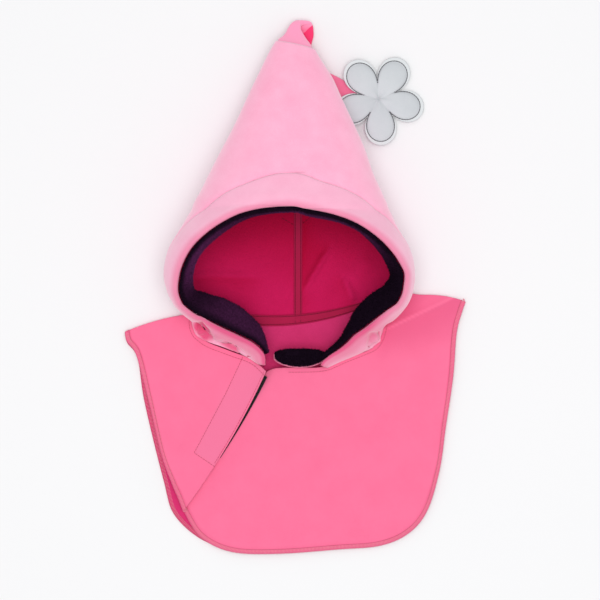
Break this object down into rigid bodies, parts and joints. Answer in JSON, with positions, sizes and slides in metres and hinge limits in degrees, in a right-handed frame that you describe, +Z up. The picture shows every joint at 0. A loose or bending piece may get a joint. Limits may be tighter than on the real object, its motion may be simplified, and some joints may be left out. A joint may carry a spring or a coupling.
{
  "type": "rain hood",
  "caption": "Child's pointed rain hood with a padded brim, plush face trim, folded-over tail with a flower, and a wrap shoulder cape, lying on its back.",
  "frame": {"origin": "the middle of the lying hood's bounding box, on the table", "axes": "+X across the hood, +Y from the cape's hem to the pointed tip, +Z up from the table, towards the side that the face looks out of"},
  "size_m": [0.3248, 0.5058, 0.099],
  "materials": {
    "hood_cloth": "matte light pink cloth with a fleece back",
    "cape_cloth": "matte strong pink cloth with a fleece back",
    "dark_plush": "deep navy plush pile",
    "silver_cloth": "silver reflective cloth, padded and stitched",
    "black_tape": "black hook and loop strip"
  },
  "bodies": {
    "root": {"crown": "hood_cloth", "brim": "hood_cloth", "face_trim": "dark_plush", "cape": "cape_cloth", "closure_loop": "black_tape", "closure_hook": "black_tape", "chin_guard": "hood_cloth", "chin_trim": "dark_plush", "tail": "cape_cloth", "flower": "silver_cloth"}
  },
  "joints": []
}
